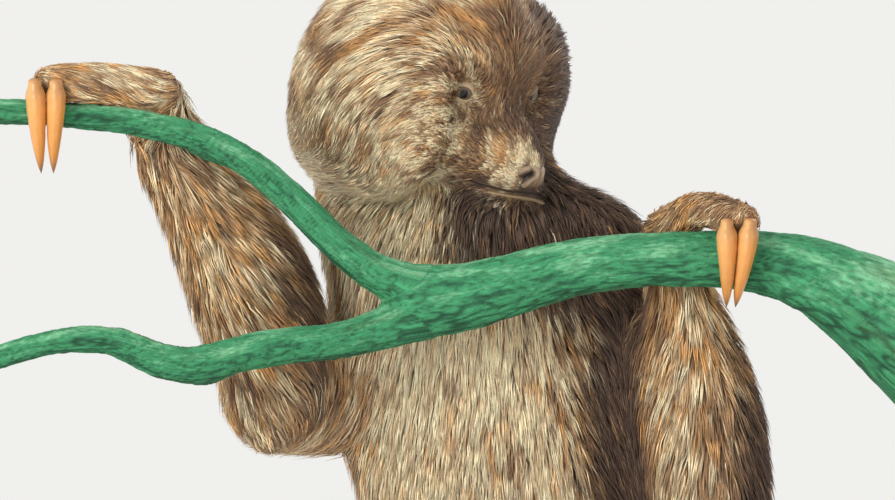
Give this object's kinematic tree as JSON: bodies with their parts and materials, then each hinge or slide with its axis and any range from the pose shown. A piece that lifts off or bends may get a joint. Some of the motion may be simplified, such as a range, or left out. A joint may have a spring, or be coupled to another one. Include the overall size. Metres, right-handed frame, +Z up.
{
  "type": "two-toed sloth",
  "caption": "Life-size still model of a sloth hanging upright by its hooked hands from a forked branch, held over a flat base by rods.",
  "frame": {"origin": "middle of the underside of the stand's base", "axes": "+Z up, the animal's chest faces -Y, its left side is +X, and the branch runs along X"},
  "size_m": [0.54, 0.34, 0.7122],
  "materials": {
    "coat": "coarse long fur in brown, ochre and cream locks",
    "nose": "bare, finely pebbled, moist skin",
    "eye": "clear gloss over dark brown",
    "claw": "satin horn, ochre with pale edges and dark tips",
    "bark": "green smooth bark with streaks along the branch",
    "stand": "oiled oak with eased edges",
    "rod": "brushed"
  },
  "bodies": {
    "root": {"head": "coat", "neck": "coat", "chest": "coat", "belly": "coat", "tail": "coat", "ear_left": "coat", "ear_right": "coat", "eye_left": "eye", "eye_right": "eye", "nose": "nose", "upper_arm_left": "coat", "upper_arm_right": "coat", "forearm_left": "coat", "forearm_right": "coat", "hand_left": "coat", "hand_right": "coat", "thigh_left": "coat", "thigh_right": "coat", "shank_left": "coat", "shank_right": "coat", "foot_left": "coat", "foot_right": "coat", "claw_hand_left_1": "claw", "claw_hand_left_2": "claw", "claw_hand_right_1": "claw", "claw_hand_right_2": "claw", "claw_foot_left_1": "claw", "claw_foot_left_2": "claw", "claw_foot_left_3": "claw", "claw_foot_right_1": "claw", "claw_foot_right_2": "claw", "claw_foot_right_3": "claw", "perch_main": "bark", "perch_upper_limb": "bark", "perch_lower_limb": "bark", "stand_base": "stand", "stand_rod_left": "rod", "stand_rod_right": "rod"}
  },
  "joints": []
}
